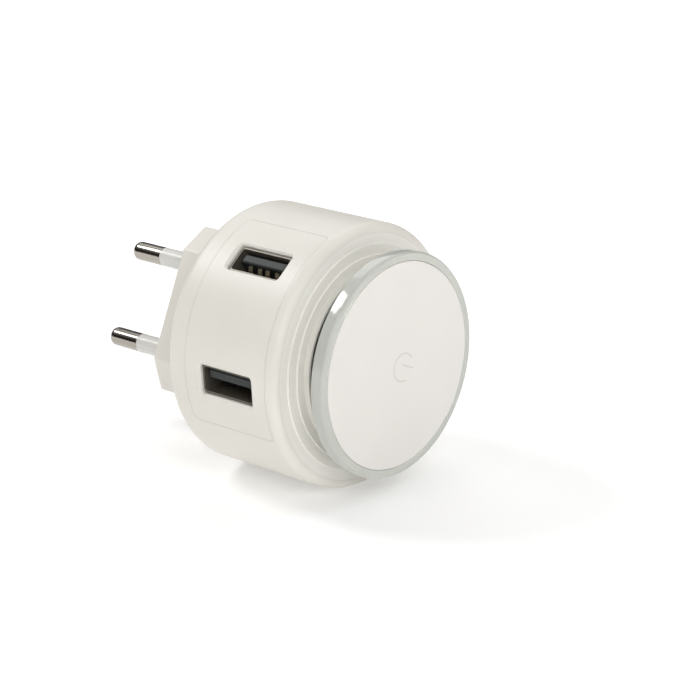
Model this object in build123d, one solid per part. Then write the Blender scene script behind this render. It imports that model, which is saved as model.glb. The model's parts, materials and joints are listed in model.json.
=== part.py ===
from build123d import *
import os
from math import cos, radians, sin

# USB wall charger with two ports and a push night-light, on a two-pin flat plug.
# Frame, in millimetres: the origin is the centre of the plug's socket face, between the pins.
# The pins point along +Y, the lamp disc faces -Y, the USB ports face -X, and +Z is up.

# Plug: two round pins on a slim eight-sided neck that reaches into a recessed socket
PIN_SPACING = 19.0
PIN_RADIUS = 2.0
PIN_LENGTH = 19.0
PIN_ROUNDING = 1.4
SLEEVE_LENGTH = 10.5
SLEEVE_DEPTH = 2.0
SLEEVE_ROOT = 0.3
SLEEVE_ROOT_RADIUS = 1.8
PIN_DISH_RADIUS = 2.6
PIN_DISH_DEPTH = 0.4
SHANK_RADIUS = 1.6
TAIL_RADIUS = 1.5
TAIL_END = -19.0
NECK_LONG = 35.3
NECK_SHORT = 13.7
NECK_CORNER_Z = 11.8
NECK_END_FLAT = 4.6
NECK_WALL = 2.0
NECK_FACE_THICKNESS = 4.0
NECK_FLANGE_Y = -24.5
NECK_FLANGE_THICKNESS = 1.8

# Drum: a round cup, closed at the back, with its open mouth towards -Y
DRUM_RADIUS = 26.9
DRUM_REAR = -20.3
DRUM_FRONT = -48.9
DRUM_WALL = 2.0
REAR_WALL = 2.2
RIM_RADIUS = 1.95
BORE_RADIUS = DRUM_RADIUS - DRUM_WALL

# Port panel: a curved plate, flush in a window of the drum's -X side
PANEL_REAR = -25.5
PANEL_FRONT = -46.7
PANEL_HALF_ANGLE = 49.2
PANEL_CORNER = 1.2
SEAM = 0.08
SKIRT_LAP = 1.5
SKIRT_FRONT_LAP = 0.5
SKIRT_THICKNESS = 1.0

# USB ports: both point outwards along a radius of the drum
PORT_ANGLE = 27.7
PORT_Y = -36.1
PORT_HOLE_LONG = 13.5
PORT_HOLE_SHORT = 6.1
PORT_BEVEL = 0.45
SHELL_LONG = 13.1
SHELL_SHORT = 5.7
SHELL_SHEET = 0.35
SHELL_MOUTH_RADIUS = 25.9
SHELL_DEPTH = 13.4
TONGUE_LONG = 11.1
TONGUE_THICKNESS = 1.84
TONGUE_OFFSET = 0.95
TONGUE_RECESS = 0.7
CONTACT_PITCHES = (-3.5, -1.0, 1.0, 3.5)
CONTACT_WIDTH = 1.0
CONTACT_SHEET = 0.2
CONTACT_BOW = ((0, 9.7), (0, 4.9), (0.75, 3.3), (0.85, 2.8), (0.6, 2.3), (0, 1.7))

# Front collar: a ring in the drum's mouth, stepped forwards towards its hole
COLLAR_STEPS = ((22.9, -49.2), (20.7, -49.55), (18.9, -50.8))
COLLAR_HOLE = 18.1
COLLAR_BACK = -47.4
COLLAR_RADIUS = BORE_RADIUS - 0.02

# Lamp button: clear disc, white face plate and the stem that slides in the collar
DISC_RADIUS = 22.7
DISC_BACK = -54.65
DISC_FRONT = -57.4
FACE_RADIUS = 20.9
FACE_THICKNESS = 0.96
FACE_PROUD = 0.06
STEM_RADIUS = 17.6
STEM_WALL = 1.7
STEM_BACK = -46.3
TRAVEL = 0.8
SIGN_X = 1.5
SIGN_RADIUS = 3.0
SIGN_GAP = (1.3, 2.3)
SIGN_BAR = (-0.6, 3.1)
SIGN_BAR_Z = 0.4
SIGN_LINE = 0.32
SIGN_DEPTH = 0.12

# Boards
LED_BOARD_REAR = -44.0
LED_BOARD_FRONT = -45.2
LED_BOARD_RADIUS = 22.6
LED_SCREW_CIRCLE = 20.6
LED_CIRCLE = 13.8
MAIN_BOARD_HALF = 0.8
MAIN_BOARD_Z = 21.9
BOARD_REAR = -28.2
BOARD_FRONT = -43.4
USB_BOARD_X = -8.9
USB_BOARD_THICKNESS = 1.2
USB_BOARD_Z = 15.5
SWITCH_TOP = -48.3
PLUNGER_TIP = -49.3
SPRING_CIRCLE = 9.6
SPRING_RADIUS = 1.7
SPRING_WIRE = 0.22
SPRING_TURNS = 5

os.makedirs("parts", exist_ok=True)


def block(x0, x1, y0, y1, z0, z1):
    """A box between two corners."""
    size = (abs(x1 - x0), abs(y1 - y0), abs(z1 - z0))
    return Pos((x0 + x1) / 2, (y0 + y1) / 2, (z0 + z1) / 2) * Box(*size)


def rod(radius, y0, y1, x=0.0, z=0.0):
    """A round bar along Y."""
    return Pos(x, (y0 + y1) / 2, z) * Rot(90, 0, 0) * Cylinder(radius, abs(y1 - y0))


def stud(radius, x0, x1, y, z):
    """A round bar along X."""
    return Pos((x0 + x1) / 2, y, z) * Rot(0, 90, 0) * Cylinder(radius, abs(x1 - x0))


def turned(*outline):
    """A solid of revolution about the Y axis, from (radius, y) corners."""
    return revolve(make_face(Polyline(*outline, close=True).edges()), Axis.Y)


def sector(r0, r1, y0, y1, middle, half_angle):
    """A part of a tube about the Y axis. Angles run from -X towards +Z."""
    outline = Polyline((-r0, y0), (-r1, y0), (-r1, y1), (-r0, y1), close=True)
    start = Rot(0, middle - half_angle, 0) * make_face(outline.edges())
    return revolve(start, Axis.Y, revolution_arc=2 * half_angle)


def rims(part, radius, y):
    """The circular edges of one radius at one station along Y."""
    circles = part.edges().filter_by(GeomType.CIRCLE)
    return [e for e in circles if abs(e.radius - radius) < 0.01 and abs(e.arc_center.Y - y) < 0.01]


def around(circle, angles):
    """(x, z) places on a circle about the Y axis, with angles from +X towards +Z."""
    return [(circle * cos(radians(a)), circle * sin(radians(a))) for a in angles]


def neck_outline(grow=0.0):
    """The neck's eight-sided section, grown or shrunk all round."""
    half_long, half_short, flat = NECK_LONG / 2, NECK_SHORT / 2, NECK_END_FLAT / 2
    corners = [(flat, half_long), (half_short, NECK_CORNER_Z)]
    corners += [(x, -z) for x, z in reversed(corners)]
    corners += [(-x, z) for x, z in reversed(corners)]
    outline = make_face(Polyline(*corners, close=True).edges())
    return offset(outline, amount=grow, kind=Kind.INTERSECTION) if grow else outline


def prism(section, y0, y1):
    """Extrudes an (x, z) section from y0 down to y1."""
    return Pos(0, y0, 0) * extrude(Plane.XZ * section, amount=y0 - y1)


def port_plane(side, radius):
    """A plane across a port: x along +Y, y towards the panel's far side, z outwards."""
    angle = radians(side * PORT_ANGLE)
    out = Vector(-cos(angle), 0, sin(angle))
    return Plane(origin=out * radius + Vector(0, PORT_Y, 0), x_dir=(0, 1, 0), z_dir=out)


def port_axis(side):
    return Axis((0, PORT_Y, 0), port_plane(side, 0).z_dir)


def port_block(side, r0, r1, long_size, short_size, along=0.0, across=0.0):
    """A box on a port's axis between two radii. Across is counted upwards."""
    middle = Pos(along, -across, (r1 - r0) / 2)
    return port_plane(side, r0) * middle * Box(long_size, short_size, r1 - r0)


# Casings

def main_housing():
    cup = turned(
        (0, DRUM_REAR), (DRUM_RADIUS, DRUM_REAR), (DRUM_RADIUS, DRUM_FRONT),
        (BORE_RADIUS, DRUM_FRONT), (BORE_RADIUS, DRUM_REAR - REAR_WALL), (0, DRUM_REAR - REAR_WALL),
    )
    cup = fillet(rims(cup, DRUM_RADIUS, DRUM_REAR) + rims(cup, DRUM_RADIUS, DRUM_FRONT), RIM_RADIUS)
    window = sector(BORE_RADIUS - 2, DRUM_RADIUS + 2, PANEL_REAR, PANEL_FRONT, 0, PANEL_HALF_ANGLE)
    window = fillet([e for e in window.edges().filter_by(GeomType.LINE) if is_radial(e)], PANEL_CORNER)
    cup -= window
    cup -= prism(neck_outline(0.1), DRUM_REAR + 1, DRUM_REAR - REAR_WALL - 1)
    for x in (-13.0, 13.0):
        cup += rod(2.8, DRUM_REAR - REAR_WALL, NECK_FLANGE_Y, x)
        cup -= rod(1.05, DRUM_REAR - 1.0, NECK_FLANGE_Y - 1, x)
    for side in (-1, 1):
        inner = side * (MAIN_BOARD_Z - 1.4)
        rail = block(-2.2, 2.2, DRUM_REAR - REAR_WALL, -40.0, inner, side * (BORE_RADIUS + 0.4))
        cup += rail & rod(BORE_RADIUS + 0.3, DRUM_REAR, DRUM_FRONT)
        slot = side * (MAIN_BOARD_Z + 0.1)
        cup -= block(-0.9, 0.9, BOARD_REAR + 0.1, -41.0, inner - side, slot)
    return cup


def is_radial(edge):
    """True for an edge that runs neither along nor around the drum's axis."""
    return abs(edge.tangent_at(0.5).Y) < 0.01


def port_panel():
    half = PANEL_HALF_ANGLE - SEAM / DRUM_RADIUS * 57.3
    rear, front = PANEL_REAR - SEAM, PANEL_FRONT + SEAM
    plate = sector(BORE_RADIUS - 0.1, DRUM_RADIUS, rear, front, 0, half)
    plate = fillet([e for e in plate.edges().filter_by(GeomType.LINE) if is_radial(e)], PANEL_CORNER - SEAM)
    lap_angle = SKIRT_LAP / BORE_RADIUS * 57.3
    outer = BORE_RADIUS - 0.1
    skirt_ends = (PANEL_REAR + SKIRT_LAP, PANEL_FRONT - SKIRT_FRONT_LAP)
    plate += sector(outer - SKIRT_THICKNESS, outer, *skirt_ends, 0, PANEL_HALF_ANGLE + lap_angle)
    for side in (-1, 1):
        hole = port_block(side, 20, 30, PORT_HOLE_LONG, PORT_HOLE_SHORT)
        plate -= fillet(hole.edges().filter_by(port_axis(side)), 0.7)
        plate -= port_bevel(side)
    return plate


def port_bevel(side):
    """The slanted lip round a port, cut 45 degrees into the panel's outer face."""
    deep = DRUM_RADIUS - PORT_BEVEL - 0.1
    reach = 1.5
    small = RectangleRounded(PORT_HOLE_LONG, PORT_HOLE_SHORT, 0.7)
    large = RectangleRounded(PORT_HOLE_LONG + 2 * reach, PORT_HOLE_SHORT + 2 * reach, 0.7 + reach)
    return loft([port_plane(side, deep) * small, port_plane(side, deep + reach) * large])


def front_collar():
    outline = [(COLLAR_RADIUS, COLLAR_BACK), (COLLAR_RADIUS, DRUM_FRONT)]
    level = DRUM_FRONT
    for radius, front in COLLAR_STEPS:
        outline += [(radius, level), (radius, front)]
        level = front
    outline += [(COLLAR_HOLE + 0.3, level), (COLLAR_HOLE, level + 0.3), (COLLAR_HOLE, COLLAR_BACK)]
    ring = turned(*outline)
    for radius, front in COLLAR_STEPS:
        ring = fillet(rims(ring, radius, front), 0.14)
    ring += sector(BORE_RADIUS - 1.7, COLLAR_RADIUS, LED_BOARD_FRONT - 0.2, COLLAR_BACK, 180, 120)
    for x, z in around(LED_SCREW_CIRCLE, (0, 120, 240)):
        ring += rod(1.9, LED_BOARD_FRONT, COLLAR_BACK, x, z)
        ring -= rod(0.95, LED_BOARD_FRONT + 1, COLLAR_BACK - 0.4, x, z)
    return ring


def plug_body():
    neck = prism(neck_outline(), 0, NECK_FLANGE_Y)
    neck = fillet(neck.edges().filter_by(Axis.Y), 1.1)
    neck = fillet(neck.faces().sort_by(Axis.Y)[-1].edges(), 0.7)
    flange_end = NECK_FLANGE_Y - NECK_FLANGE_THICKNESS
    flange = neck_outline(1.4) + Rectangle(26.0, 6.4)
    for x in (-13.0, 13.0):
        flange += Pos(x, 0) * Circle(3.2)
        flange -= Pos(x, 0) * Circle(1.2)
    neck += prism(flange, NECK_FLANGE_Y, flange_end)
    neck -= prism(neck_outline(-NECK_WALL), -NECK_FACE_THICKNESS, flange_end - 1)
    for z in (-PIN_SPACING / 2, PIN_SPACING / 2):
        neck += rod(4.2, -NECK_FACE_THICKNESS + 0.5, -14.0, 0, z)
        neck -= rod(PIN_DISH_RADIUS, 1, -PIN_DISH_DEPTH, 0, z)
        neck -= rod(SLEEVE_ROOT_RADIUS + 0.02, 1, -SLEEVE_DEPTH, 0, z)
        neck -= rod(2.42, -SLEEVE_DEPTH, -8.0, 0, z)
        neck -= rod(TAIL_RADIUS + 0.02, -8.0, -15.0, 0, z)
    return neck


# Contacts of the mains plug

def pin(z):
    tip = rod(PIN_RADIUS, PIN_LENGTH, SLEEVE_LENGTH, 0, z)
    tip = fillet(rims(tip, PIN_RADIUS, PIN_LENGTH), PIN_ROUNDING)
    shank = rod(SHANK_RADIUS, SLEEVE_LENGTH, -SLEEVE_DEPTH, 0, z)
    anchor = rod(2.4, -SLEEVE_DEPTH, -8.0, 0, z)
    return tip + shank + anchor + rod(TAIL_RADIUS, -8.0, TAIL_END, 0, z)


def pin_sleeve(z):
    """An insulating sleeve, relieved a little at its root in the neck."""
    sleeve = rod(PIN_RADIUS, SLEEVE_LENGTH, SLEEVE_ROOT, 0, z)
    sleeve = fillet(rims(sleeve, PIN_RADIUS, SLEEVE_LENGTH), 0.12)
    sleeve += rod(SLEEVE_ROOT_RADIUS, SLEEVE_ROOT, -SLEEVE_DEPTH, 0, z)
    return sleeve - rod(SHANK_RADIUS + 0.02, SLEEVE_LENGTH + 1, -SLEEVE_DEPTH - 1, 0, z)


def pin_contact(z):
    """A strip that lies on the pin's tail and joggles down to the main board."""
    sheet = 0.5
    near, far = TAIL_RADIUS, MAIN_BOARD_HALF
    path = [(near, -14.5), (near, -20.5), (far, -23.5), (far, -30.8)]
    back = [(x + sheet, y) for x, y in reversed(path)]
    return Pos(0, 0, z - 1.5) * extrude(make_face(Polyline(*path, *back, close=True).edges()), amount=3.0)


def self_tapping_screw(x, z, head_y, direction, shank, head_radius=1.9):
    """A cross-head screw whose head sits at head_y and whose shank points along direction."""
    head = rod(head_radius, head_y, head_y - direction * 1.3, x, z)
    head = fillet(rims(head, head_radius, head_y - direction * 1.3), 0.5)
    top = head_y - direction * 1.3
    for wide, high in ((1.8, 0.4), (0.4, 1.8)):
        head -= block(x - wide / 2, x + wide / 2, top, top + direction * 0.6, z - high / 2, z + high / 2)
    return head + rod(0.9, head_y, head_y + direction * shank, x, z)


# Lamp button

def lamp_disc():
    disc = rod(DISC_RADIUS, DISC_BACK, DISC_FRONT)
    disc = fillet(rims(disc, DISC_RADIUS, DISC_FRONT), 0.55)
    disc = fillet(rims(disc, DISC_RADIUS, DISC_BACK), 0.25)
    return disc - rod(FACE_RADIUS, DISC_FRONT - FACE_PROUD + FACE_THICKNESS, DISC_FRONT - 1)


def face_plate():
    front = DISC_FRONT - FACE_PROUD
    plate = rod(FACE_RADIUS - 0.05, front + FACE_THICKNESS, front)
    plate = fillet(rims(plate, FACE_RADIUS - 0.05, front), 0.15)
    ring = Circle(SIGN_RADIUS) - Circle(SIGN_RADIUS - SIGN_LINE)
    gap_start, gap_half = SIGN_GAP
    ring -= Pos(gap_start + SIGN_RADIUS, 0) * Rectangle(2 * SIGN_RADIUS, 2 * gap_half)
    bar_start, bar_end = SIGN_BAR
    bar = Pos((bar_start + bar_end) / 2, SIGN_BAR_Z) * Rectangle(bar_end - bar_start, SIGN_LINE)
    for mark in (ring, bar):
        plate -= prism(Pos(SIGN_X, 0) * mark, front + SIGN_DEPTH, front - 1)
    return plate


def button_stem():
    plate_back = DISC_BACK + 1.5
    stem = rod(STEM_RADIUS, plate_back, DISC_BACK)
    tube = rod(STEM_RADIUS, STEM_BACK, plate_back) - rod(STEM_RADIUS - STEM_WALL, STEM_BACK + 1, plate_back - 1)
    stem += tube
    hook_front = COLLAR_BACK + 0.2
    for middle in (0, 120, 240):
        stem += sector(STEM_RADIUS - 0.5, STEM_RADIUS + 1.6, STEM_BACK, hook_front, middle, 12)
    stem += rod(1.6, PLUNGER_TIP, plate_back)
    for x, z in spring_places():
        stem += rod(SPRING_RADIUS - SPRING_WIRE - 0.35, -50.0, plate_back, x, z)
    return stem


def spring_places():
    return around(SPRING_CIRCLE, (60, 180, 300))


def return_spring(x, z):
    """A coil between the lamp board and the stem's plate."""
    start = LED_BOARD_FRONT - SPRING_WIRE
    length = LED_BOARD_FRONT - (DISC_BACK + 1.5) - 2 * SPRING_WIRE
    path = Helix(length / SPRING_TURNS, length, SPRING_RADIUS)
    coil = sweep(Plane(origin=path @ 0, z_dir=path % 0) * Circle(SPRING_WIRE), path, is_frenet=True)
    return Pos(x, start, z) * Rot(90, 0, 0) * coil


# Push switch and lamp board

def switch_body():
    body = block(-3, 3, LED_BOARD_FRONT, SWITCH_TOP, -3, 3)
    body = fillet(body.edges().filter_by(Axis.Y), 0.5)
    body -= rod(1.8, LED_BOARD_FRONT - 0.2, SWITCH_TOP - 1)
    return body


def switch_plunger():
    plunger = rod(1.7, -46.6, PLUNGER_TIP)
    return fillet(rims(plunger, 1.7, PLUNGER_TIP), 0.2)


def led_board():
    board = rod(LED_BOARD_RADIUS, LED_BOARD_REAR, LED_BOARD_FRONT)
    for x, z in around(LED_SCREW_CIRCLE, (0, 120, 240)):
        board -= rod(1.1, LED_BOARD_REAR + 1, LED_BOARD_FRONT - 1, x, z)
    return board


def led(x, z):
    case = block(x - 1.4, x + 1.4, LED_BOARD_FRONT, LED_BOARD_FRONT - 0.8, z - 1.4, z + 1.4)
    return case - rod(1.1, LED_BOARD_FRONT - 0.6, LED_BOARD_FRONT - 1, x, z)


# Mains power board

def main_board():
    return block(-MAIN_BOARD_HALF, MAIN_BOARD_HALF, BOARD_REAR, BOARD_FRONT, -MAIN_BOARD_Z, MAIN_BOARD_Z)


def transformer_core():
    core = block(2.6, 15.0, -32.0, -40.0, -7.0, 7.0)
    core = fillet(core.edges().filter_by(Axis.Y), 0.3)
    for x in (5.2, 12.4):
        core -= block(x - 1.4, x + 1.4, -31, -41, -4.6, 4.6)
    return core


def transformer_bobbin():
    """A spool on the core's middle leg, with two end flanges and six legs on the board."""
    flanges = block(3.9, 13.7, -29.8, -42.2, -4.5, 4.5) - block(3, 15, -29, -43, -3.9, 3.9)
    spool = block(6.2, 11.4, -31.6, -40.4, -4.5, 4.5)
    bobbin = flanges + spool - block(6.58, 11.02, -31.98, -40.02, -6, 6)
    for z in (-4.2, 4.2):
        for y in (-30.6, -41.4):
            bobbin += block(MAIN_BOARD_HALF, 4.2, y - 0.5, y + 0.5, z - 0.3, z + 0.3)
    return bobbin


def transformer_winding():
    coil = block(3.9, 13.7, -30.0, -42.0, -3.85, 3.85)
    coil = fillet(coil.edges().filter_by(Axis.Z), 1.5)
    return coil - block(6.15, 11.45, -31.55, -40.45, -5, 5)


def capacitor(foot, y, z, radius, height):
    """An electrolytic can that stands on a board's +X face, with a crimp groove."""
    can = stud(radius, foot, foot + height, y, z)
    can = fillet(can.faces().sort_by(Axis.X)[-1].edges(), 0.5)
    groove = stud(radius + 1, foot + 1.0, foot + 1.5, y, z) - stud(radius - 0.3, foot, foot + 3, y, z)
    return can - groove


def bridge_rectifier():
    body = block(-3.4, -1.2, -31.5, -38.0, -19.0, -11.0)
    body = chamfer(body.faces().sort_by(Axis.X)[0].edges(), 0.4)
    for y in (-32.8, -36.7):
        for z in (-19.5, -10.5):
            body += block(-2.2, -MAIN_BOARD_HALF, y - 0.4, y + 0.4, z - 0.6, z + 0.6)
    return body


def fuse_resistor():
    body = rod(1.75, -30.5, -39.5, -3.0, 17.5)
    body = fillet(rims(body, 1.75, -30.5) + rims(body, 1.75, -39.5), 0.6)
    for y in (-30.0, -40.0):
        body += block(-3.3, -MAIN_BOARD_HALF, y - 0.6, y + 0.6, 17.2, 17.8)
    return body


def choke():
    """A drum core with its winding, flat on the board."""
    spool = stud(3.6, -5.6, -MAIN_BOARD_HALF, -35.0, 8.5)
    waist = stud(4, -4.9, -1.5, -35.0, 8.5) - stud(3.2, -5, -1, -35.0, 8.5)
    return spool - waist


def power_chip():
    body = block(-2.5, -1.0, -32.5, -37.5, -3.5, 1.5)
    body = chamfer(body.faces().sort_by(Axis.X)[0].edges(), 0.25)
    for y in (-33.1, -34.4, -35.6, -36.9):
        for z in (-4.1, 2.1):
            body += block(-1.3, -MAIN_BOARD_HALF, y - 0.2, y + 0.2, z - 0.65, z + 0.65)
    return body


def safety_capacitor():
    """A disc capacitor that stands on edge by the transformer."""
    disc = stud(3.2, 2.6, 5.4, -31.5, -12.0)
    disc = fillet(disc.edges().filter_by(GeomType.CIRCLE), 0.9)
    for y in (-30.0, -33.0):
        disc += block(MAIN_BOARD_HALF, 4.0, y - 0.3, y + 0.3, -12.3, -11.7)
    return disc


# USB side

def usb_board():
    front = USB_BOARD_X + USB_BOARD_THICKNESS
    board = block(USB_BOARD_X, front, BOARD_REAR, BOARD_FRONT, -USB_BOARD_Z, USB_BOARD_Z)
    for side in (-1, 1):
        for along in CONTACT_PITCHES:
            board -= stud(0.45, USB_BOARD_X - 1, front + 1, PORT_Y + along, side * port_foot_z())
    return board


def port_foot_z():
    """The height at which a port's axis meets the USB board."""
    return -USB_BOARD_X * sin(radians(PORT_ANGLE)) / cos(radians(PORT_ANGLE))


def usb_shell(side):
    inner = SHELL_MOUTH_RADIUS - SHELL_DEPTH
    outer = RectangleRounded(SHELL_LONG, SHELL_SHORT, 0.8)
    hollow = RectangleRounded(SHELL_LONG - 2 * SHELL_SHEET, SHELL_SHORT - 2 * SHELL_SHEET, 0.5)
    shell = extrude(port_plane(side, inner) * (outer - hollow), amount=SHELL_DEPTH)
    for along in (-3.2, 3.2):
        window = port_block(side, inner + 6.5, inner + 9.5, 2.2, SHELL_SHORT + 2, along)
        shell -= window
    return shell


def usb_tongue(side):
    """The socket's insulator: a block at the back of the shell and the contact tongue."""
    back = SHELL_MOUTH_RADIUS - SHELL_DEPTH
    foot = port_block(side, 6.0, back + 3.6, SHELL_LONG - 2.4, SHELL_SHORT - 0.9)
    foot -= block(USB_BOARD_X, 0, -20, -60, -30, 30)
    end = SHELL_MOUTH_RADIUS - TONGUE_RECESS
    tongue = port_block(side, back + 3.0, end, TONGUE_LONG, TONGUE_THICKNESS, across=TONGUE_OFFSET)
    tip = tongue.faces().sort_by(port_axis(side))[-1]
    return foot + chamfer(tip.edges(), 0.25)


def contact_spring(side, along):
    """A sprung strip that lies under the tongue and bows away from it near the mouth."""
    under = TONGUE_OFFSET - TONGUE_THICKNESS / 2 - 0.02
    line = [(under - drop, SHELL_MOUTH_RADIUS - back) for drop, back in CONTACT_BOW]
    sheet = [(across - CONTACT_SHEET, radius) for across, radius in reversed(line)]
    corners = [(along - CONTACT_WIDTH / 2, -across, radius) for across, radius in line + sheet]
    strip = extrude(make_face(Polyline(*corners, close=True).edges()), amount=CONTACT_WIDTH, dir=(1, 0, 0))
    return port_plane(side, 0) * strip


def usb_contacts(side):
    """Four springs under the tongue, and their legs through the USB board."""
    strips = []
    for along in CONTACT_PITCHES:
        strips.append(contact_spring(side, along))
        y = PORT_Y + along
        strips.append(stud(0.35, USB_BOARD_X, USB_BOARD_X + 2.2, y, side * port_foot_z()))
    return strips


def usb_chip():
    body = block(-7.4, -6.0, -33.0, -38.0, 8.2, 13.2)
    body = chamfer(body.faces().sort_by(Axis.X)[-1].edges(), 0.25)
    for y in (-33.6, -34.9, -36.1, -37.4):
        for z in (7.6, 13.8):
            body += block(-7.7, -7.1, y - 0.2, y + 0.2, z - 0.65, z + 0.65)
    return body


def usb_header():
    """A four-way spacer that joins the USB board to the main board."""
    body = block(-7.7, -MAIN_BOARD_HALF, -40.4, -42.9, -15.0, -5.0)
    for z in (-12.5, -10.0, -7.5):
        body -= block(-7.0, -1.5, -40, -40.7, z - 0.25, z + 0.25)
    return body


def lamp_header():
    """A four-way connector between the main board's edge and the lamp board."""
    body = block(MAIN_BOARD_HALF, 3.3, LED_BOARD_REAR, -41.4, 10.0, 20.0)
    for z in (12.5, 15.0, 17.5):
        body -= block(2.6, 4, -43.4, -41.9, z - 0.25, z + 0.25)
    return body


upper, lower = PIN_SPACING / 2, -PIN_SPACING / 2
nodes = {
    "main_housing": [main_housing()],
    "port_panel": [port_panel()],
    "front_collar": [front_collar()],
    "plug_body": [plug_body()],
    "pin_upper": [pin(upper)],
    "pin_lower": [pin(lower)],
    "pin_sleeve_upper": [pin_sleeve(upper)],
    "pin_sleeve_lower": [pin_sleeve(lower)],
    "pin_contact_upper": [pin_contact(upper)],
    "pin_contact_lower": [pin_contact(lower)],
    "base_screws": [self_tapping_screw(x, 0, NECK_FLANGE_Y - NECK_FLANGE_THICKNESS, 1, 4.6) for x in (-13, 13)],
    "lamp_disc": [lamp_disc()],
    "face_plate": [face_plate()],
    "button_stem": [button_stem()],
    "return_springs": [return_spring(x, z) for x, z in spring_places()],
    "switch_body": [switch_body()],
    "switch_plunger": [switch_plunger()],
    "led_board": [led_board()],
    "leds": [led(x, z) for x, z in around(LED_CIRCLE, range(0, 360, 45))],
    "led_board_screws": [
        self_tapping_screw(x, z, LED_BOARD_REAR, -1, 3.2, 1.8)
        for x, z in around(LED_SCREW_CIRCLE, (0, 120, 240))
    ],
    "main_board": [main_board()],
    "transformer_core": [transformer_core()],
    "transformer_bobbin": [transformer_bobbin()],
    "transformer_winding": [transformer_winding()],
    "input_capacitors": [
        capacitor(MAIN_BOARD_HALF, y, z, 4.0, 12.0) for y, z in ((-39.1, -14.5), (-33.2, 15.6))
    ],
    "output_capacitors": [
        capacitor(USB_BOARD_X + USB_BOARD_THICKNESS, y, z, 3.0, 4.0) for y, z in ((-36.0, 0.0), (-33.0, -11.5))
    ],
    "bridge_rectifier": [bridge_rectifier()],
    "fuse_resistor": [fuse_resistor()],
    "choke": [choke()],
    "power_chip": [power_chip()],
    "safety_capacitor": [safety_capacitor()],
    "usb_board": [usb_board()],
    "usb_shell_upper": [usb_shell(1)],
    "usb_shell_lower": [usb_shell(-1)],
    "usb_tongue_upper": [usb_tongue(1)],
    "usb_tongue_lower": [usb_tongue(-1)],
    "usb_contacts_upper": usb_contacts(1),
    "usb_contacts_lower": usb_contacts(-1),
    "usb_chip": [usb_chip()],
    "usb_header": [usb_header()],
    "lamp_header": [lamp_header()],
}
for name, solids in nodes.items():
    export_step(solids[0] if len(solids) == 1 else Compound(children=solids), f"parts/{name}.step")
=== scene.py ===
"""USB wall charger on a pale floor: looks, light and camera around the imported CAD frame.

Row frame, in metres: the pins point along +Y, the lamp disc faces -Y, the ports face -X, +Z is up.
The charger lies on its round side, rolled about its own axis, so the floor is tilted in this frame.
"""
import bmesh
import bpy
import json
import math
from math import cos, pi, radians, sin
from mathutils import Matrix, Vector


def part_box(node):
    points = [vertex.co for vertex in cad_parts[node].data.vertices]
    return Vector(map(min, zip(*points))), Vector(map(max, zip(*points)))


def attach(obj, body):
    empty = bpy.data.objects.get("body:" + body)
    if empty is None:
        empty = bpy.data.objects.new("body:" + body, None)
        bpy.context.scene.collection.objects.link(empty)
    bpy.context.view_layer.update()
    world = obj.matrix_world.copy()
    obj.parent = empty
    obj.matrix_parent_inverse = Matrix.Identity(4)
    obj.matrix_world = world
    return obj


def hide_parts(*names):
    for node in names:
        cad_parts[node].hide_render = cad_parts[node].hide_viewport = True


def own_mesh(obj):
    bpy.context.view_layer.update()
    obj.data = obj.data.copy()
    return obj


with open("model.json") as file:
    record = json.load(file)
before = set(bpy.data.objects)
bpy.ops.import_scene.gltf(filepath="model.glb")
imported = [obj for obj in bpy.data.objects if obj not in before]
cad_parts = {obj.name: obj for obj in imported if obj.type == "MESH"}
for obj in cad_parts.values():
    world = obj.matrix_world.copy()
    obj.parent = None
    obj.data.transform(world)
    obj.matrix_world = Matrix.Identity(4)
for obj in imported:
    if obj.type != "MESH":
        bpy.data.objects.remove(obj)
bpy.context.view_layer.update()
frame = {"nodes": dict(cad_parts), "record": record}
nodes = frame["nodes"]
scene = bpy.context.scene

ROLL = radians(23.44)  # how far the charger has rolled on the floor, about +Y


def standing(x, y, z):
    """A vector of the level studio, in which the floor is horizontal, in the row frame."""
    return Vector((x * cos(ROLL) - z * sin(ROLL), y, x * sin(ROLL) + z * cos(ROLL)))


STUDIO = Matrix((standing(1, 0, 0), standing(0, 1, 0), standing(0, 0, 1))).transposed()


# ---------------------------------------------------------------- materials

def new_material(name):
    material = bpy.data.materials.new(name)
    material.use_nodes = True
    tree = material.node_tree
    shader = tree.nodes["Principled BSDF"]
    return material, tree, shader


def texture(tree, kind, scale, detail=3.0, stretch=None, **settings):
    """A procedural texture on object coordinates, in metres."""
    coordinates = tree.nodes.new("ShaderNodeTexCoord")
    node = tree.nodes.new(kind)
    source = coordinates.outputs["Object"]
    if stretch:
        mapping = tree.nodes.new("ShaderNodeMapping")
        mapping.inputs["Scale"].default_value = stretch
        tree.links.new(source, mapping.inputs["Vector"])
        source = mapping.outputs["Vector"]
    tree.links.new(source, node.inputs["Vector"])
    node.inputs["Scale"].default_value = scale
    if "Detail" in node.inputs:
        node.inputs["Detail"].default_value = detail
    for key, value in settings.items():
        setattr(node, key, value)
    return node


def ramp(tree, source, stops):
    node = tree.nodes.new("ShaderNodeValToRGB")
    elements = node.color_ramp.elements
    while len(elements) < len(stops):
        elements.new(0.5)
    for element, (place, color) in zip(elements, stops):
        element.position = place
        element.color = (*color, 1.0)
    tree.links.new(source, node.inputs["Fac"])
    return node.outputs["Color"]


def spread(tree, source, low, high):
    """Maps a 0 to 1 value to a range."""
    node = tree.nodes.new("ShaderNodeMapRange")
    node.inputs["To Min"].default_value = low
    node.inputs["To Max"].default_value = high
    tree.links.new(source, node.inputs["Value"])
    return node.outputs["Result"]


def bump(tree, shader, source, distance, strength=1.0):
    node = tree.nodes.new("ShaderNodeBump")
    node.inputs["Distance"].default_value = distance
    node.inputs["Strength"].default_value = strength
    tree.links.new(source, node.inputs["Height"])
    tree.links.new(node.outputs["Normal"], shader.inputs["Normal"])


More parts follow.
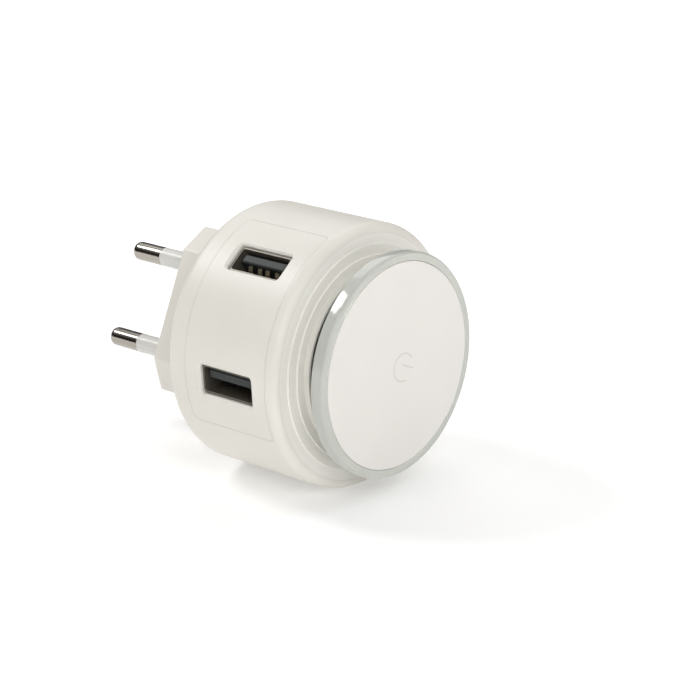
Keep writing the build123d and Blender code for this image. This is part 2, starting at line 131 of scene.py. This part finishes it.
def linear(*rgb):
    """sRGB 0-255 to linear."""
    values = [c / 255 for c in rgb]
    return tuple(c / 12.92 if c <= 0.04045 else ((c + 0.055) / 1.055) ** 2.4 for c in values)


def near(color, factor):
    return tuple(min(1.0, c * factor) for c in color)


def moulded(name, color, roughness, grain=2600.0, depth=6e-6, mottle=0.02, specular=0.5):
    """Injection-moulded plastic: fine spark-eroded grain, and a faint drift of tone."""
    material, tree, shader = new_material(name)
    drift = texture(tree, "ShaderNodeTexNoise", 70.0, 2.0)
    tone = ramp(tree, drift.outputs["Fac"], [(0.3, near(color, 1 - mottle)), (0.7, near(color, 1 + mottle))])
    tree.links.new(tone, shader.inputs["Base Color"])
    fine = texture(tree, "ShaderNodeTexNoise", grain, 4.0)
    tree.links.new(
        spread(tree, drift.outputs["Fac"], roughness - 0.04, roughness + 0.04), shader.inputs["Roughness"]
    )
    bump(tree, shader, fine.outputs["Fac"], depth)
    shader.inputs["Specular IOR Level"].default_value = specular
    return material


def metal(name, color, roughness, scratch=900.0, stretch=(1, 1, 1), depth=2e-6, polish=1.0):
    """Plated or drawn metal with faint directional wear."""
    material, tree, shader = new_material(name)
    wear = texture(tree, "ShaderNodeTexNoise", scratch, 3.0, stretch)
    tone = ramp(tree, wear.outputs["Fac"], [(0.35, near(color, 0.93)), (0.65, near(color, 1.03))])
    tree.links.new(tone, shader.inputs["Base Color"])
    shader.inputs["Metallic"].default_value = polish
    tree.links.new(
        spread(tree, wear.outputs["Fac"], roughness * 0.7, roughness * 1.3), shader.inputs["Roughness"]
    )
    bump(tree, shader, wear.outputs["Fac"], depth)
    return material


def clear_acrylic(name):
    """Polished acrylic with a grey-green tint that shows through its edge."""
    material, tree, shader = new_material(name)
    haze = texture(tree, "ShaderNodeTexNoise", 120.0, 2.0)
    tint = ramp(
        tree, haze.outputs["Fac"], [(0.3, linear(217, 219, 211)), (0.7, linear(222, 224, 217))]
    )
    tree.links.new(tint, shader.inputs["Base Color"])
    shader.inputs["Transmission Weight"].default_value = 0.30
    shader.inputs["IOR"].default_value = 1.49
    tree.links.new(spread(tree, haze.outputs["Fac"], 0.07, 0.11), shader.inputs["Roughness"])
    return material


def circuit_board(name, color):
    """Solder mask over a faint pattern of tracks."""
    material, tree, shader = new_material(name)
    tracks = texture(tree, "ShaderNodeTexVoronoi", 420.0, distance="MANHATTAN")
    tone = ramp(
        tree, tracks.outputs["Distance"], [(0.25, near(color, 1.25)), (0.32, color), (0.9, near(color, 0.9))]
    )
    tree.links.new(tone, shader.inputs["Base Color"])
    shader.inputs["Roughness"].default_value = 0.35
    bump(tree, shader, tracks.outputs["Distance"], 2e-5)
    return material


def taped(name, color):
    """Layers of glossy tape round a winding."""
    material, tree, shader = new_material(name)
    layers = texture(tree, "ShaderNodeTexWave", 260.0, 1.0, bands_direction="Y")
    tone = ramp(tree, layers.outputs["Fac"], [(0.1, near(color, 0.8)), (0.3, color)])
    tree.links.new(tone, shader.inputs["Base Color"])
    shader.inputs["Roughness"].default_value = 0.28
    bump(tree, shader, layers.outputs["Fac"], 3e-5)
    return material


WHITE = linear(227, 224, 216)
MATERIALS = {
    "housing": moulded("white_housing", WHITE, 0.42),
    "collar": moulded("white_collar", linear(238, 236, 229), 0.40),
    "nickel": metal("nickel_plate", (0.40, 0.37, 0.33), 0.16, 1400.0, (1, 0.08, 1), 2e-7),
    "sleeve": moulded("white_sleeve", linear(214, 213, 208), 0.28, 1200.0, 2e-6),
    "brass": metal("rolled_brass", (0.78, 0.56, 0.24), 0.30),
    "screw_steel": metal("zinc_plate", (0.60, 0.61, 0.63), 0.32),
    "clear_disc": clear_acrylic("clear_acrylic"),
    "face": moulded("white_face", linear(225, 222, 217), 0.36, 1800.0, 2e-6, 0.012),
    "spring_steel": metal("spring_wire", (0.55, 0.55, 0.56), 0.25),
    "black_plastic": moulded("black_mould", (0.022, 0.022, 0.023), 0.45, 2200.0, 1e-5, 0.1),
    "grey_plastic": moulded("grey_mould", (0.16, 0.16, 0.15), 0.5, 2200.0, 1e-5, 0.1),
    "plunger": moulded("cream_mould", (0.72, 0.66, 0.42), 0.4),
    "white_board": circuit_board("white_mask", (0.80, 0.80, 0.76)),
    "led": moulded("phosphor_gel", (0.85, 0.66, 0.14), 0.25),
    "green_board": circuit_board("green_mask", (0.015, 0.11, 0.04)),
    "ferrite": moulded("sintered_ferrite", (0.045, 0.045, 0.05), 0.7, 1600.0, 2e-5, 0.15),
    "winding_tape": taped("yellow_tape", (0.75, 0.52, 0.05)),
    "capacitor_sleeve": moulded("shrink_sleeve", (0.02, 0.03, 0.07), 0.3, 500.0, 1e-5, 0.1),
    "capacitor_can": metal("aluminium_can", (0.74, 0.74, 0.75), 0.3),
    "resistor": moulded("cement_coat", (0.16, 0.34, 0.25), 0.6, 1500.0, 3e-5, 0.08),
    "blue_ceramic": moulded("dipped_ceramic", (0.03, 0.10, 0.42), 0.3, 900.0, 2e-5, 0.08),
    # Painted shade: the port shells are nickel sheet, but their colour is darkened far below nickel's to
    # stand in for the shade inside the port mouths.
    "port_metal": metal("nickel_sheet_painted_shade", (0.13, 0.115, 0.095), 0.34, 700.0, (1, 1, 1), 2e-6, 0.45),
    "tongue": moulded("socket_insulator", (0.040, 0.046, 0.044), 0.46, 1500.0, 4e-6, 0.1, specular=0.25),
    "gold": metal("gold_flash", (0.72, 0.66, 0.50), 0.35),
}
slots = {part["node"]: part["material_slot"] for part in frame["record"]["subparts"]}
for name, node in nodes.items():
    node.data.materials.clear()
    node.data.materials.append(MATERIALS[slots[name]])

# ---------------------------------------------------------------- pieces

DISC_SEGMENTS = 320
DISC_POCKET_GAP = 0.00005  # between the face plate's edge and the disc's pocket
DISC_POCKET_BEVEL = 0.00008
DISC_POCKET_FLOOR = 0.00002  # between the face plate's back and the pocket's floor
DISC_BACK_ROUND = 0.00025
DISC_FRONT_ROUND = 0.00055
SPRING_ANGLES = (60, 180, 300)
SPRING_CIRCLE = 0.0096
SPRING_RADIUS = 0.0017
SPRING_WIRE = 0.00022
SPRING_TURNS = 5
SIGN_X = 0.0015
SIGN_RADIUS = 0.0030
SIGN_LINE = 0.00032
SIGN_DEPTH = 0.00012
SIGN_SUNK = 0.00003  # the darker sheet's face below the plate's face, painted shade in the sign's groove
SIGN_GAP_START = 0.0013
SIGN_BAR = (-0.0006, 0.0031)
SIGN_BAR_Z = 0.0004
SIGN_RING_STEPS = 72
SIGN_BAR_STEPS = 12


def add_piece(name, vertices, faces, slot, body):
    mesh = bpy.data.meshes.new(name)
    mesh.from_pydata(vertices, [], faces)
    shell = bmesh.new()
    shell.from_mesh(mesh)
    bmesh.ops.recalc_face_normals(shell, faces=shell.faces)
    shell.to_mesh(mesh)
    shell.free()
    piece = bpy.data.objects.new(name, mesh)
    scene.collection.objects.link(piece)
    mesh.materials.append(MATERIALS[slot])
    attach(piece, body)
    return piece


def smooth(piece, angle):
    """Soft shading everywhere but across edges sharper than the angle."""
    mesh = piece.data
    mesh.polygons.foreach_set("use_smooth", [True] * len(mesh.polygons))
    mesh.set_sharp_from_angle(angle=angle)


def quarter(radius, y, fillet, start, turn, steps):
    """(radius, y) points of a rounded corner whose arc runs from one angle by a turn."""
    angles = [start + turn * i / steps for i in range(steps + 1)]
    return [(radius + fillet * cos(a), y + fillet * sin(a)) for a in angles]


def lathe(name, profile, slot, body, segments):
    """A closed solid of revolution about the Y axis from (radius, y) points. Its ends lie on the axis."""
    rings = profile[1:-1]
    vertices = [(0, profile[0][1], 0)]
    for radius, y in rings:
        for k in range(segments):
            a = 2 * pi * k / segments
            vertices.append((radius * cos(a), y, radius * sin(a)))
    vertices.append((0, profile[-1][1], 0))
    last = len(vertices) - 1
    faces = []
    for k in range(segments):
        near_k, far_k = 1 + k, 1 + (k + 1) % segments
        faces.append((0, near_k, far_k))
        for i in range(len(rings) - 1):
            shift = i * segments
            one, other = near_k + shift, far_k + shift
            faces.append((one, one + segments, other + segments, other))
        shift = (len(rings) - 1) * segments
        faces.append((near_k + shift, last, far_k + shift))
    return add_piece(name, vertices, faces, slot, body)


def clear_disc():
    """The acrylic lamp disc: polished and round-edged, with a shallow pocket for the face plate."""
    low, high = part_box("lamp_disc")
    plate_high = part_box("face_plate")[1]
    radius, front, back = high.x, low.y, high.y
    pocket = plate_high.x + DISC_POCKET_GAP
    profile = [(0, back)]
    for edge, level, fillet, start, steps in (
        (back, -1, DISC_BACK_ROUND, pi / 2, 6), (front, 1, DISC_FRONT_ROUND, 0, 10)
    ):
        profile += quarter(radius - fillet, edge + level * fillet, fillet, start, -pi / 2, steps)
    profile += [(pocket + DISC_POCKET_BEVEL, front), (pocket, front + DISC_POCKET_BEVEL)]
    profile += [(pocket, plate_high.y + DISC_POCKET_FLOOR), (0, plate_high.y + DISC_POCKET_FLOOR)]
    disc = lathe("clear_acrylic_disc", profile, "clear_disc", "lamp_button", DISC_SEGMENTS)
    smooth(disc, radians(35))
    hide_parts("lamp_disc")


def coil(place, start, end, radius, wire, turns):
    """A helix tube from one level down to another, wound closer at its ends."""
    around, across = 28, 10
    total = turns * around
    vertices, faces = [], []
    for i in range(total + 1):
        t = i / total
        turn = 2 * pi * turns * t
        y = start - wire - (start - end - 2 * wire) * (t - 0.1 * sin(2 * pi * t))
        middle = Vector((place[0] + radius * cos(turn), y, place[1] + radius * sin(turn)))
        outward = Vector((cos(turn), 0, sin(turn)))
        for k in range(across):
            a = 2 * pi * k / across
            vertices.append(middle + outward * (wire * cos(a)) + Vector((0, wire * sin(a), 0)))
    for i in range(total):
        for k in range(across):
            a, b = i * across + k, i * across + (k + 1) % across
            faces.append((a, b, b + across, a + across))
    faces.append(tuple(range(across)))
    faces.append(tuple(reversed(range(total * across, (total + 1) * across))))
    return vertices, faces


def return_springs():
    """Three coils that push the lamp button out."""
    low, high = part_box("return_springs")
    vertices, faces = [], []
    for angle in SPRING_ANGLES:
        place = (SPRING_CIRCLE * cos(radians(angle)), SPRING_CIRCLE * sin(radians(angle)))
        found, quads = coil(place, high.y, low.y, SPRING_RADIUS, SPRING_WIRE, SPRING_TURNS)
        shift = len(vertices)
        vertices += found
        faces += [tuple(v + shift for v in quad) for quad in quads]
    springs = add_piece("button_return_coils", vertices, faces, "spring_steel", "charger")
    smooth(springs, radians(60))
    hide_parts("return_springs")
    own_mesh(springs)


def paint_sign_shade():
    """A thin darker sheet sunk in the standby sign's groove, an open ring and a bar: painted shade in the
    groove.
    """
    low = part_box("face_plate")[0]
    deep, top = low.y + SIGN_DEPTH, low.y + SIGN_SUNK
    half = SIGN_LINE / 2
    middle = SIGN_RADIUS - half
    gap = math.acos(SIGN_GAP_START / middle)
    ring = []
    for i in range(SIGN_RING_STEPS + 1):
        a = gap + (2 * pi - 2 * gap) * i / SIGN_RING_STEPS
        ring.append([(SIGN_X + r * cos(a), r * sin(a)) for r in (middle - half, middle + half)])
    start, end = SIGN_BAR
    bar = []
    for i in range(SIGN_BAR_STEPS + 1):
        x = SIGN_X + start + (end - start) * i / SIGN_BAR_STEPS
        bar.append([(x, SIGN_BAR_Z + side * half) for side in (-1, 1)])
    vertices, faces = [], []
    for strip in (ring, bar):
        base = len(vertices)
        for (ax, az), (bx, bz) in strip:
            vertices += [(ax, top, az), (bx, top, bz), (bx, deep, bz), (ax, deep, az)]
        for i in range(len(strip) - 1):
            a, b = base + 4 * i, base + 4 * i + 4
            faces += [(a + k, a + (k + 1) % 4, b + (k + 1) % 4, b + k) for k in range(4)]
        for end_ring in (base, base + 4 * (len(strip) - 1)):
            faces.append(tuple(end_ring + k for k in range(4)))
    sign = add_piece("standby_sign_painted_shade", vertices, faces, "face", "lamp_button")
    # painted shade: the sheet is a darker white than the face plate, to darken the sign's groove
    sign.data.materials[0] = moulded("sign_groove_painted_shade", linear(207, 205, 199), 0.4, 1800.0, 2e-6)
    smooth(sign, radians(30))


clear_disc()
return_springs()
paint_sign_shade()

# ---------------------------------------------------------------- floor, light, camera

DRUM_RADIUS = 0.0269
MIDDLE_Y = -0.035  # middle of the charger along the pins
FLOOR_HALF = 0.9
# Painted light: the floor glows though it is no lamp, and its dimmer glow near the charger's foot is a
# painted shadow round it.
GLOW_START = 0.04  # distance from the charger's foot at which the floor's glow starts to grow
GLOW = (0.24, 1.0)  # the floor's glow at that distance and at its edge
PAPER = ((0.88, 0.88, 0.88), (0.90, 0.90, 0.90))
EVEN = 0.25
SEEN = 1.05
WALL_STRENGTH = 0.9
WALLS = (  # what shiny things see, from straight down (0) to straight up (1)
    (0.46, (0.55, 0.52, 0.47)),
    (0.50, (0.05, 0.05, 0.05)),
    (0.68, (0.03, 0.03, 0.03)),
    (0.84, (0.55, 0.55, 0.55)),
)


def make_floor():
    """A level sheet that the drum rests on. It glows more with distance, as painted light, and glows least
    round the charger's foot as painted shade. It can't be seen from below.
    """
    points = [(x, y) for x in (-1, 1) for y in (-1, 1)]
    mesh = bpy.data.meshes.new("floor")
    vertices = [standing(x * FLOOR_HALF, y * FLOOR_HALF, -DRUM_RADIUS) for x, y in points]
    mesh.from_pydata(vertices, [], [(0, 2, 3, 1)])
    floor = bpy.data.objects.new("floor", mesh)
    scene.collection.objects.link(floor)
    material, tree, shader = new_material("paper_sweep")
    fibre = texture(tree, "ShaderNodeTexNoise", 1500.0, 3.0)
    tone = ramp(tree, fibre.outputs["Fac"], [(0.3, PAPER[0]), (0.7, PAPER[1])])
    tree.links.new(tone, shader.inputs["Base Color"])
    shader.inputs["Roughness"].default_value = 0.9
    shader.inputs["Specular IOR Level"].default_value = 0.0
    shader.inputs["Emission Color"].default_value = (1, 1, 1, 1)
    coordinates = tree.nodes.new("ShaderNodeTexCoord")
    away = tree.nodes.new("ShaderNodeVectorMath")
    away.operation = "DISTANCE"
    tree.links.new(coordinates.outputs["Object"], away.inputs[0])
    away.inputs[1].default_value = standing(0, MIDDLE_Y, -DRUM_RADIUS)
    # painted light and painted shade: the glow grows with distance from the charger's foot
    glow = spread(tree, away.outputs["Value"], *GLOW)
    glow.node.inputs["From Min"].default_value = GLOW_START
    glow.node.inputs["From Max"].default_value = FLOOR_HALF
    tree.links.new(glow, shader.inputs["Emission Strength"])
    clear = tree.nodes.new("ShaderNodeBsdfTransparent")
    below = tree.nodes.new("ShaderNodeNewGeometry")
    mix = tree.nodes.new("ShaderNodeMixShader")
    tree.links.new(below.outputs["Backfacing"], mix.inputs["Fac"])
    tree.links.new(shader.outputs["BSDF"], mix.inputs[1])
    tree.links.new(clear.outputs["BSDF"], mix.inputs[2])
    tree.links.new(mix.outputs["Shader"], tree.nodes["Material Output"].inputs["Surface"])
    mesh.materials.append(material)


def make_world():
    """Even surroundings for soft shading. Shiny things see a dim wall below a bright ceiling."""
    world = bpy.data.worlds.new("studio")
    scene.world = world
    world.use_nodes = True
    world.cycles.sampling_method = "NONE"
    tree = world.node_tree
    even = tree.nodes["Background"]
    even.inputs["Color"].default_value = (1.0, 0.99, 0.97, 1)
    even.inputs["Strength"].default_value = EVEN
    coordinates = tree.nodes.new("ShaderNodeTexCoord")
    height = tree.nodes.new("ShaderNodeVectorMath")
    height.operation = "DOT_PRODUCT"
    height.inputs[1].default_value = standing(0, 0, 1)
    tree.links.new(coordinates.outputs["Generated"], height.inputs[0])
    walls = tree.nodes.new("ShaderNodeBackground")
    walls.inputs["Strength"].default_value = WALL_STRENGTH
    level = tree.nodes.new("ShaderNodeMapRange")
    level.inputs["From Min"].default_value = -1.0
    tree.links.new(height.outputs["Value"], level.inputs["Value"])
    tree.links.new(ramp(tree, level.outputs["Result"], WALLS), walls.inputs["Color"])
    seen = tree.nodes.new("ShaderNodeBackground")
    seen.inputs["Strength"].default_value = SEEN
    path = tree.nodes.new("ShaderNodeLightPath")
    shading = tree.nodes.new("ShaderNodeMixShader")
    tree.links.new(path.outputs["Is Diffuse Ray"], shading.inputs["Fac"])
    tree.links.new(walls.outputs["Background"], shading.inputs[1])
    tree.links.new(even.outputs["Background"], shading.inputs[2])
    backdrop = tree.nodes.new("ShaderNodeMixShader")
    tree.links.new(path.outputs["Is Camera Ray"], backdrop.inputs["Fac"])
    tree.links.new(shading.outputs["Shader"], backdrop.inputs[1])
    tree.links.new(seen.outputs["Background"], backdrop.inputs[2])
    tree.links.new(backdrop.outputs["Shader"], tree.nodes["World Output"].inputs["Surface"])


def soft_light(name, place, size, power):
    """A large square lamp of the level studio that points at the charger's middle."""
    data = bpy.data.lights.new(name, "AREA")
    data.shape = "SQUARE"
    data.size = size
    data.energy = power
    light = bpy.data.objects.new(name, data)
    scene.collection.objects.link(light)
    middle = standing(0, MIDDLE_Y, 0)
    light.location = standing(*place)
    light.rotation_euler = (light.location - middle).to_track_quat("Z", "Y").to_euler()


CAMERA_AZIMUTH = radians(-49.08)
CAMERA_HEIGHT = radians(18.13)
CAMERA_DISTANCE = 0.480
CAMERA_ASIDE = 0.03389
CAMERA_DOWN = -0.00856
CAMERA_LENS = 117.31


def make_camera():
    azimuth, height = CAMERA_AZIMUTH, CAMERA_HEIGHT
    back = Vector((sin(azimuth) * cos(height), -cos(azimuth) * cos(height), sin(height)))
    right = Vector((cos(azimuth), sin(azimuth), 0))
    up = back.cross(right)
    place = back * CAMERA_DISTANCE + right * CAMERA_ASIDE + up * CAMERA_DOWN
    data = bpy.data.cameras.new("camera")
    data.lens = CAMERA_LENS
    data.sensor_width = 36.0
    data.clip_start = 0.01
    data.clip_end = 20.0
    camera = bpy.data.objects.new("camera", data)
    scene.collection.objects.link(camera)
    level = Matrix((right, up, back)).transposed()
    turned = (STUDIO @ level).to_4x4()
    turned.translation = STUDIO @ place
    camera.matrix_world = turned
    scene.camera = camera


make_floor()
make_world()
soft_light("overhead", (-0.30, -0.30, 0.64), 0.60, 0.43)
soft_light("front_right", (0.40, -0.45, 0.50), 0.50, 1.33)
soft_light("softbox", (-0.19, 0.42, 0.52), 0.20, 1.74)
soft_light("front_left", (-0.40, -0.60, 0.36), 0.40, 2.22)
soft_light("rear_right", (0.35, 0.30, 0.60), 0.50, 1.36)
make_camera()
scene.view_settings.view_transform = "Standard"
scene.view_settings.look = "None"
